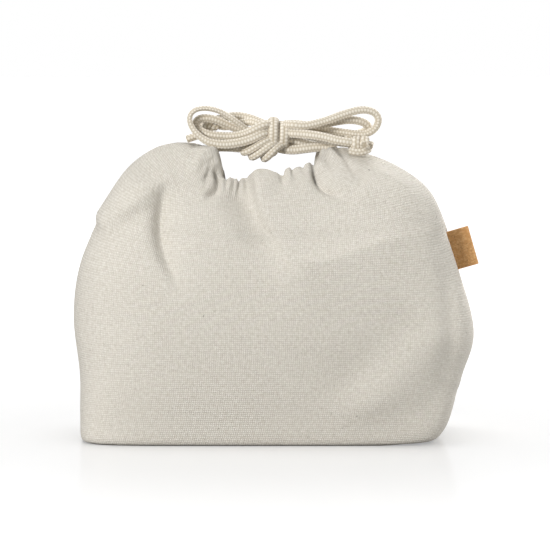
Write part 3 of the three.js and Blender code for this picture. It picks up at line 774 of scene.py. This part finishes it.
# %% Folds
SOFT, SHARP = 2, 1.2  # a rounded fold and one with a crease along its line
FRONT_FOLDS = [  # points from the top, widths to both sides, depth, and at need fades and sharpness
    # The pleats of the drawn rim, from left to right
    ([(-37, 161), (-38, 153), (-41, 146)], (1.6, 1.8), 1.4),
    ([(-33.6, 158), (-34.6, 151), (-38.4, 141)], (1.3, 1.7), 2.0),
    ([(-31.4, 154), (-30.4, 147), (-31, 141.5), (-35.2, 138), (-36.4, 133)], (1.5, 2.4), 3.4, (0.2, 0.6)),
    ([(-25.8, 162), (-25.6, 147), (-27, 138)], (1.2, 1.6), 2.2),
    ([(-21.6, 160), (-21.4, 146.5), (-22.4, 138)], (1.1, 1.4), 1.9),
    ([(-18.4, 160), (-18.4, 146), (-19.4, 137)], (0.9, 1.2), 2.6),
    ([(-15, 162), (-14.8, 147), (-12.5, 137)], (1.2, 1.6), 1.8),
    ([(-7, 160), (-6, 147), (-3, 132)], (8, 8), -2.4),
    ([(4.8, 163), (5, 149), (7, 140)], (1.3, 1.4), 2.6),
    ([(11.2, 164), (11.4, 151), (13, 143)], (1.1, 1.3), 1.8),
    ([(16.5, 165), (16.8, 152), (19, 146)], (1.0, 1.1), 1.6),
    ([(22.9, 168), (22.9, 154), (25.9, 143)], (1.2, 1.6), 3.0),
    ([(29.7, 170), (29.9, 159), (31.5, 149)], (1.0, 1.2), 1.8),
    ([(36, 164), (40.9, 156), (46, 146)], (1.2, 1.6), 2.0),
    # The slack that hangs from the rim, on the right
    ([(22.4, 154), (24, 148), (27, 142.5), (36.4, 137), (46, 132.5)], (1.8, 4), 4.4, (0.2, 0.3), SHARP),
    ([(32, 149), (42, 142), (56, 136), (68, 130)], (6, 6), -2.4),
    ([(-13, 150), (-10, 133), (-2, 117), (6, 105), (18, 98.5)], (14, 2.4), 6.0, (0.15, 0.35)),
    ([(-10, 150), (-7, 134), (1, 120), (9, 108.5), (19, 102.5)], (4, 14), -2.4, (0.15, 0.35)),
    ([(1, 119), (9, 107), (19, 101), (34, 102.5), (64, 112), (92, 121)], (20, 10), -6.0, (0.3, 0.6), SHARP),
    # The pillow of the right shoulder
    ([(50, 150.5), (61, 145.5), (70, 140.5), (78, 131.5), (84, 122)], (16, 5), -3.6, (0.2, 0.45)),
    # The roll of the left shoulder and the valley below it
    ([(-96, 116), (-84, 125), (-72, 133.5), (-60, 143.5), (-46, 149)], (3.5, 13), -3.6),
    ([(-97, 113), (-84, 122), (-72, 130.5), (-60, 140.5), (-48, 146)], (5, 2), 1.6),
    (
        [(-59, 146), (-62.5, 134), (-64, 122), (-61.5, 109), (-54, 92), (-48, 78)],
        (3, 10), 8.0, (0.25, 0.4), SHARP,
    ),
    ([(-40, 163), (-45, 154)], (1.3, 1.3), 1.2),
    ([(-43, 164), (-49, 156)], (1.3, 1.3), 1.1),
    # The slack that hangs to the lower right corner, and the corner of the lunch box inside
    ([(96, 68), (82, 48), (64, 30), (44, 17), (20, 8)], (14, 9), -3.0),
    ([(98, 36), (84, 18), (62, 4)], (7, 9), 1.8),
    ([(79, 75), (48, 43), (17, 20)], (14, 12), 2.2),
    ([(94, 121), (99, 92), (100, 62), (97, 32), (91, 12)], (8, 4), 2.4),
]
FOLD_STEPS = 28
FADE_LEAD = 0.02


def smooth_fade(share, start, end):
    """A quick rise at the start of a fold, and a fall from 1 to 0 over its last part."""
    return smooth_step(share, -FADE_LEAD, start) * (1 - smooth_step(share, end, 1))


def fold_depth(plane, points, widths, depth, fades=(0.1, 0.55), power=SOFT):
    """How far one fold pushes in, at each point of the plane."""
    line = even_line(smooth_line(points), FOLD_STEPS)
    nearest = np.full(plane.shape[:-1], np.inf)
    side = np.zeros_like(nearest)
    share = np.zeros_like(nearest)
    for number, (a, b) in enumerate(zip(line, line[1:])):
        along = b - a
        t = np.clip((plane - a) @ along / (along @ along), 0, 1)
        off = plane - a - t[..., None] * along
        distance = np.linalg.norm(off, axis=-1)
        closer = distance < nearest
        nearest = np.where(closer, distance, nearest)
        side = np.where(closer, along[0] * off[..., 1] - along[1] * off[..., 0], side)
        share = np.where(closer, (number + t) / (len(line) - 1), share)
    width = np.where(side < 0, *widths)
    return depth * np.exp(-((nearest / width) ** power)) * smooth_fade(share, *fades)


BACK_PLEATS = 11
BACK_PLEAT_SPAN = 30
BACK_PLEAT_LENGTH = 17
BACK_PLEAT_DEPTH = 2.1
BACK_RIM_RISE = 17
BACK_SLACK = [
    # The slack that hangs from the gates and from the middle
    ([(-38, 152), (-60, 136), (-66, 108)], (7, 4), 2.4),
    ([(36, 152), (58, 138), (64, 110)], (4, 7), 2.6),
    ([(10, 128), (30, 96), (34, 60)], (9, 12), 1.6),
    # The hollows of the shoulders, where the bow lies when it is tipped back
    ([(29, 168), (38, 160.5), (50, 155)], (9, 2.5), 3.4, (0.05, 0.55)),
    ([(-33, 167), (-41, 161), (-50, 157.5)], (2.5, 8), 2.8, (0.05, 0.55)),
]


def back_folds():
    """Pleats spread along the back rim, each a little different, and the slack below them."""
    folds = []
    for number in range(BACK_PLEATS):
        share = 2 * number / (BACK_PLEATS - 1) - 1
        top = BACK_PLEAT_SPAN * share + 1.1 * math.sin(5 * number)
        length = BACK_PLEAT_LENGTH + 6 * math.sin(2.3 * number)
        rim = BACK_MIDDLE[-1][1] + BACK_RIM_RISE * abs(share) ** 5
        points = [(top, rim + 14), (top, rim + 2), (top * 1.25, rim - length)]
        folds.append((points, (1.3, 1.4), BACK_PLEAT_DEPTH + 0.7 * math.sin(3.7 * number)))
    return folds + BACK_SLACK


SLACK_RIPPLE, SLACK_SWELL = 0.25, 0.3


def soft_waves(plane):
    """Slow, shallow waves of slack cloth."""
    x, z = plane[..., 0], plane[..., 1]
    ripple = np.sin(x / 13 + 0.7 * np.sin(z / 19)) * np.sin(z / 17 + 0.5)
    return SLACK_RIPPLE * ripple + SLACK_SWELL * np.sin(x / 29 - z / 23 + 1.1)


print(len(FRONT_FOLDS), "folds on the front and", len(back_folds()), "on the back")

# %% [markdown]
# A panel starts as a flat grid, as cloth is cut flat, and each of its points is moved to its place on
# the wall. Then the folds press in along the cloth's own normals, the edges turn in at the side seams,
# and Solidify gives the canvas its thickness.

# %% Panels
CANVAS_THICKNESS = 1.1 * MM
SEAM_TURN_IN = [(4.2, -0.1), (2.0, 0.0), (0.7, 0.55)]  # from the edge: inwards, and off the seam's plane
SLIT_LENGTH, SLIT_WIDTH = 14, 3
ROW_SPACING = 1.35
FOLDS_FROM, FOLDS_FULL = 3, 25  # heights between which the folds grow, so that the foot stays smooth
rims = []  # each panel's rim, which the cords in the casing follow


def grid_normals(grid):
    return unit(np.cross(np.gradient(grid, axis=1), np.gradient(grid, axis=0)))


def unrolled(grid):
    """Each point's place across and up the wall, going on up over the rim."""
    height = grid[..., 2].copy()
    steps = np.linalg.norm(np.diff(grid[WALL_ROWS:], axis=0), axis=-1)
    height[WALL_ROWS + 1 :] = height[WALL_ROWS] + np.cumsum(steps, axis=0)
    return np.stack([grid[..., 0], height], axis=-1)


def sew_seams(grid, front):
    """Turns the side edges in, flat against the other panel's, and opens the slits for the cords."""
    outside = -1 if front else 1
    rim_distance = (WALL_ROWS - np.arange(len(grid))) * ROW_SPACING
    slit = SLIT_WIDTH * (1 - smooth_step(rim_distance, 0, SLIT_LENGTH))
    for number, (inward, gap) in enumerate(SEAM_TURN_IN):
        for column in (number, -1 - number):
            grid[:, column, 0] -= np.sign(grid[:, column, 0]) * inward
            grid[:, column, 1] = outside * (gap + slit)


def cloth_places(grid):
    """UV in metres: across from the middle of each row, and up the middle column."""
    middle = COLUMNS // 2
    across = np.array([lengths_along(row) for row in grid])
    across -= across[:, middle : middle + 1]
    up = lengths_along(grid[:, middle])[:, None]
    return np.stack(np.broadcast_arrays(across, up), axis=-1) * MM


def folded_grid(front, folds):
    """One panel's points with folds and sewn edges, and their places on the flat cloth."""
    grid = panel_grid(front)
    rims.append(grid[WALL_ROWS])
    plane = unrolled(grid)
    depth = sum(fold_depth(plane, *fold) for fold in folds) + soft_waves(plane)
    low = smooth_step(grid[..., 2], FOLDS_FROM, FOLDS_FULL)
    grid = grid - grid_normals(grid) * (depth * low)[..., None]
    places = cloth_places(grid)
    sew_seams(grid, front)
    return grid, places


def add_grid(name, columns, rows):
    """A flat sheet from -1 to 1 both ways, point by point and row by row, with a UV map."""
    bpy.ops.mesh.primitive_grid_add(x_subdivisions=columns, y_subdivisions=rows, size=2)
    sheet = bpy.context.object
    sheet.name = sheet.data.name = name
    sheet.data.uv_layers.active.name = "cloth"
    return sheet


def finish_cloth(cloth, *replaced):
    """Gives a sheet the canvas's thickness and finish, and lets it stand for its solids."""
    bpy.ops.object.modifier_add(type="SOLIDIFY")
    cloth.modifiers[-1].thickness = CANVAS_THICKNESS
    bpy.ops.object.modifier_apply(modifier=cloth.modifiers[-1].name)
    bpy.ops.object.shade_smooth()
    cloth.data.materials.append(canvas_material)
    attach(cloth, "bag")
    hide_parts(*replaced)
    print(cloth.name, "has", len(cloth.data.polygons), "faces")


def make_panel(name, front, folds, *replaced):
    grid, places = folded_grid(front, folds)
    panel = add_grid(name, COLUMNS, WALL_ROWS + ROLL_ROWS)
    panel.data.vertices.foreach_set("co", (grid * MM).ravel())
    set_uv(panel.data, panel.data.uv_layers.active, places.reshape(-1, 2))
    finish_cloth(panel, *replaced)
    return panel


front_cloth = make_panel("front_cloth", True, FRONT_FOLDS, "front_panel", "front_casing")
back_cloth = make_panel("back_cloth", False, back_folds(), "back_panel", "back_casing")

# %% [markdown]
# Inside the casing each cord goes once round the mouth from its own gate, and the two turn half way
# round each other. Only their ends show, where they come up and turn inwards to the knot.

# %% Cord runs in the casing
RUN_INSET, RUN_DROP = 2.6, 9.5
RUN_CLEAR = 9  # along the rim, from the gate
RUN_REACH = 12  # a run stays below the lowest rim within this reach
RUN_POINTS = 48
EXIT_HEIGHT = GATES[2] / MM
GATE_STEPS = [(0.3, 1, 0), (1.6, 1, 0), (3, 1.25, -0.8)]  # past the exit, spread of the pair, and rise


def run_route(side):
    """Once round inside the rim, in millimetres, from one side's gate and back to it."""
    front, back = rims if side < 0 else rims[::-1]
    rim = np.vstack([front, back[1:]])
    along = lengths_along(rim)
    places = np.linspace(RUN_CLEAR, along[-1] - RUN_CLEAR, RUN_POINTS)
    lowest = np.array([rim[np.abs(along - place) < RUN_REACH, 2].min() for place in places])
    rim = at_places(places, along, rim)
    turn = 2 * np.pi * places / along[-1]
    into = RUN_INSET - PAIR_OFFSET * np.sin(turn)
    down = RUN_DROP - PAIR_OFFSET * np.cos(turn)
    round_mouth = inside(rim, into, lowest - down)

    def gate_end(y):
        return [
            (side * (EXIT_X + past), y * spread, EXIT_HEIGHT + rise) for past, spread, rise in GATE_STEPS
        ]

    start = math.copysign(PAIR_OFFSET, side)
    return [*gate_end(start), *round_mouth, *gate_end(-start)[::-1]]


for name, side in (("left", -1), ("right", 1)):
    line = cord_line(np.array(run_route(side)) * MM)
    run = braided_piece(name + "_cord_run_braid", [(line, None, ROUND)], "bag", [name + "_cord_run"])
    print(run.name, "is", round(lengths_along(line)[-1] / MM), "mm long")

# %% [markdown]
# The base is one flat piece of the same canvas under the folded foot of the wall. It starts as a grid
# and is pressed into the oblong plan of the foot. Its right end curls up a little with the wall.

# %% Base
BASE_COLUMNS, BASE_ROWS = 96, 56
BASE_LEVEL = 1
BASE_INSET = 0.6
BASE_TOP = 1.1
BASE_LIFT_FROM, BASE_LIFT = 58, 1.6


def base_point(a, b):
    """A point of the square from -1 to 1 moved into the base's outline, in millimetres."""
    power = SQUARENESS[BASE_LEVEL]
    round_off = (abs(a) ** power + abs(b) ** power) ** (1 / power) or 1
    share = max(abs(a), abs(b)) / round_off
    reach_x = (LEFT_SEAM if a < 0 else RIGHT_SEAM)[BASE_LEVEL][0] - BASE_INSET
    reach_y = FRONT_MIDDLE[BASE_LEVEL][0] - BASE_INSET
    return reach_x * a * share, reach_y * b * share


def make_base():
    base = add_grid("base_cloth", BASE_COLUMNS, BASE_ROWS)
    for vertex in base.data.vertices:
        x, y = base_point(vertex.co.x, vertex.co.y)
        lift = BASE_LIFT * float(smooth_step(x, BASE_LIFT_FROM, RIGHT_SEAM[BASE_LEVEL][0]))
        vertex.co = Vector((x, y, BASE_TOP + lift)) * MM
    places = np.array([vertex.co.to_2d() for vertex in base.data.vertices])
    set_uv(base.data, base.data.uv_layers.active, places)
    finish_cloth(base, "base_panel")
    return base


base_cloth = make_base()

# %% [markdown]
# The label is a strip of cork cloth folded once, with its ends in the side seam. Cork cloth is warm
# brown with fine dark pores and paler flakes, and its face is left bare.

# %% Cork material
CORK_TONE = srgb(206, 154, 98)
CORK_FLAKE = srgb(226, 182, 128)
CORK_PORE = srgb(128, 84, 48)
FLAKE_NOISE = (700, 700, 1100)  # a metre along each axis
GRAIN_NOISE = (2600, 2600, 3800)
PORE_NOISE = (1500, 1500, 2600)
FLAKE_LIMITS = (0.45, 0.65)
PORE_LIMITS, PORE_STRENGTH = (0.63, 0.72), 0.85
CORK_HEIGHT = 0.2 * MM


def make_cork_material():
    material, tree, shader = start_material("cork_cloth", roughness=0.8, specular=0.3)
    place = tree.nodes.new("ShaderNodeTexCoord").outputs["Object"]
    flakes = rescale(noise(place, FLAKE_NOISE, 4), *FLAKE_LIMITS, 0, 1)
    grain = noise(place, GRAIN_NOISE, 3)
    pores = rescale(noise(place, PORE_NOISE, 2), *PORE_LIMITS, 0, PORE_STRENGTH)
    colour = mix_colour(flakes, CORK_TONE, CORK_FLAKE)
    put(shader.inputs["Base Color"], mix_colour(pores, colour, CORK_PORE))
    bump(shader, calculate("SUBTRACT", grain, pores), CORK_HEIGHT)
    return material


cork_material = make_cork_material()
print("made", cork_material.name)

# %% [markdown]
# The tab is modelled flat at the seam: a thin block is cut into strips, its free edge is thinned and
# rounded where the strip folds, and its face curls a little. It is then turned to stand square to the
# sloping seam, as the hinge of its solid does.

# %% Label tab
LABEL_LENGTH = 22 * MM
LABEL_THICKNESS = 1.9 * MM
LABEL_REACH = 10.3 * MM
LABEL_HIDDEN = 3 * MM  # inside the seam
LABEL_CUTS = 11
LABEL_EDGE = 0.35 * MM
FOLD_THINNING = 0.45
LABEL_CURL, CURL_TURN = 0.5 * MM, 3
label_hinge = Vector(joints["label_flex"]["pos_m"])
label_axis = Vector(joints["label_flex"]["axis"])


def make_label():
    bpy.ops.mesh.primitive_cube_add(size=1)
    tab = bpy.context.object
    tab.name = tab.data.name = "label_cork"
    bpy.ops.object.mode_set(mode="EDIT")
    bpy.ops.transform.resize(value=(LABEL_REACH + LABEL_HIDDEN, LABEL_THICKNESS, LABEL_LENGTH))
    bpy.ops.transform.translate(value=((LABEL_REACH - LABEL_HIDDEN) / 2, 0, 0))
    bpy.ops.mesh.subdivide(number_cuts=LABEL_CUTS)
    bpy.ops.object.mode_set(mode="OBJECT")
    for vertex in tab.data.vertices:
        near_fold = smooth_step(vertex.co.x, LABEL_REACH - LABEL_THICKNESS / 2, LABEL_REACH)
        vertex.co.y *= 1 - FOLD_THINNING * float(near_fold)
        curl = LABEL_CURL * math.sin(vertex.co.z / LABEL_LENGTH * CURL_TURN)
        vertex.co.y += curl * vertex.co.x / LABEL_REACH
    bpy.ops.object.modifier_add(type="BEVEL")
    tab.modifiers[-1].width = LABEL_EDGE
    tab.modifiers[-1].segments = 3
    bpy.ops.object.modifier_apply(modifier=tab.modifiers[-1].name)
    tab.rotation_euler = (0, -math.atan2(-label_axis.x, label_axis.z), 0)
    tab.location = label_hinge
    bpy.ops.object.transform_apply()
    bpy.ops.object.shade_smooth_by_angle(angle=math.radians(35))
    tab.data.materials.append(cork_material)
    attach(tab, "label")
    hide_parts("label_tab")
    return tab


label_cork = make_label()
frame["nodes"]["label_root"].data.materials.clear()
frame["nodes"]["label_root"].data.materials.append(cork_material)
print("label:", len(label_cork.data.polygons), "faces")

# %% [markdown]
# The studio is a white sweep under soft light: the key lamp stands in front on the left, a weaker lamp
# on the right, one above and one behind. Only the lamp above lights the floor, so the shadow is a soft
# one round the foot, and the floor mirrors the bag faintly. Rays from the camera see a white world, and
# the floor glows for them only, so the background is white while the bag keeps a plain level of light.
# The floor glows less near the bag, which paints a soft shade round its foot.

# %% Studio
WORLD_LIGHT = 0.22
FLOOR_SIZE = 8
FLOOR_TONE = 0.8
# The floor glows less near the bag than far from it: painted shade round the foot.
FLOOR_GLOW_NEAR, FLOOR_GLOW_FAR = 0.44, 0.8
FLOOR_GLOW_RADII = (0.15, 0.7)
FLOOR_POLISH = 0.17
POLISH_ROUGHNESS = 0.08
POLISH_FADE = (-0.45, -0.05)  # from front to back
LAMPS = [  # place, size and power, and if it lights the floor; all look at the bag's middle
    ((-1.25, -1.9, 0.85), 0.6, 49, False),
    ((1.9, 0.0, 0.4), 0.7, 19, False),
    ((0.0, 0.2, 1.8), 1.2, 13, True),
    ((0.7, 1.9, 0.9), 0.8, 40, False),
]


def white_for_camera(tree, low, high):
    """A strength that is high for rays that are seen, and low for those that light the bag."""
    path = tree.nodes.new("ShaderNodeLightPath")
    seen = calculate("MAXIMUM", path.outputs["Is Camera Ray"], path.outputs["Is Glossy Ray"])
    return rescale(seen, 0, 1, low, high)


def make_floor_material():
    material, tree, shader = start_material("white_floor", roughness=0.5, specular=0.2)
    shader.inputs["Base Color"].default_value = (FLOOR_TONE, FLOOR_TONE, FLOOR_TONE, 1)
    shader.inputs["Emission Color"].default_value = (1, 1, 1, 1)
    place = tree.nodes.new("ShaderNodeTexCoord").outputs["Object"]
    far = tree.nodes.new("ShaderNodeVectorMath")
    far.operation = "LENGTH"
    put(far.inputs[0], place)
    # Painted shade: the glow is weaker close to the bag.
    glow = rescale(far.outputs["Value"], *FLOOR_GLOW_RADII, FLOOR_GLOW_NEAR, FLOOR_GLOW_FAR)
    put(shader.inputs["Emission Strength"], white_for_camera(tree, 0.0, glow))
    apart = tree.nodes.new("ShaderNodeSeparateXYZ")
    put(apart.inputs[0], place)
    gloss = tree.nodes.new("ShaderNodeBsdfGlossy")
    gloss.inputs["Roughness"].default_value = POLISH_ROUGHNESS
    polish = tree.nodes.new("ShaderNodeMixShader")
    put(polish.inputs[0], rescale(apart.outputs["Y"], *POLISH_FADE, 0.0, FLOOR_POLISH))
    put(polish.inputs[1], shader.outputs[0])
    put(polish.inputs[2], gloss.outputs[0])
    put(tree.nodes["Material Output"].inputs["Surface"], polish.outputs[0])
    return material


def make_floor():
    bpy.ops.mesh.primitive_plane_add(size=FLOOR_SIZE)
    floor = bpy.context.object
    floor.name = "floor"
    floor.data.materials.append(make_floor_material())
    return floor


def make_studio():
    world = bpy.data.worlds.new("studio")
    world.use_nodes = True
    bpy.context.scene.world = world
    background = world.node_tree.nodes["Background"]
    background.inputs["Color"].default_value = (1, 1, 1, 1)
    strength = white_for_camera(world.node_tree, WORLD_LIGHT, 1.0)
    put(background.inputs["Strength"], strength)
    all_but_floor = bpy.data.collections.new("all_but_floor")
    all_but_floor.objects.link(make_floor())
    all_but_floor.collection_objects[0].light_linking.link_state = "EXCLUDE"
    middle = (CAD_BOX[0] + CAD_BOX[1]) / 2
    for place, size, power, on_floor in LAMPS:
        turn = (middle - Vector(place)).to_track_quat("-Z", "Y").to_euler()
        bpy.ops.object.light_add(type="AREA", location=place, rotation=turn)
        lamp = bpy.context.object
        lamp.data.size = size
        lamp.data.energy = power
        if not on_floor:
            lamp.light_linking.receiver_collection = all_but_floor


make_studio()
bpy.context.scene.view_settings.view_transform = "Standard"
print("studio:", len(LAMPS), "lamps")
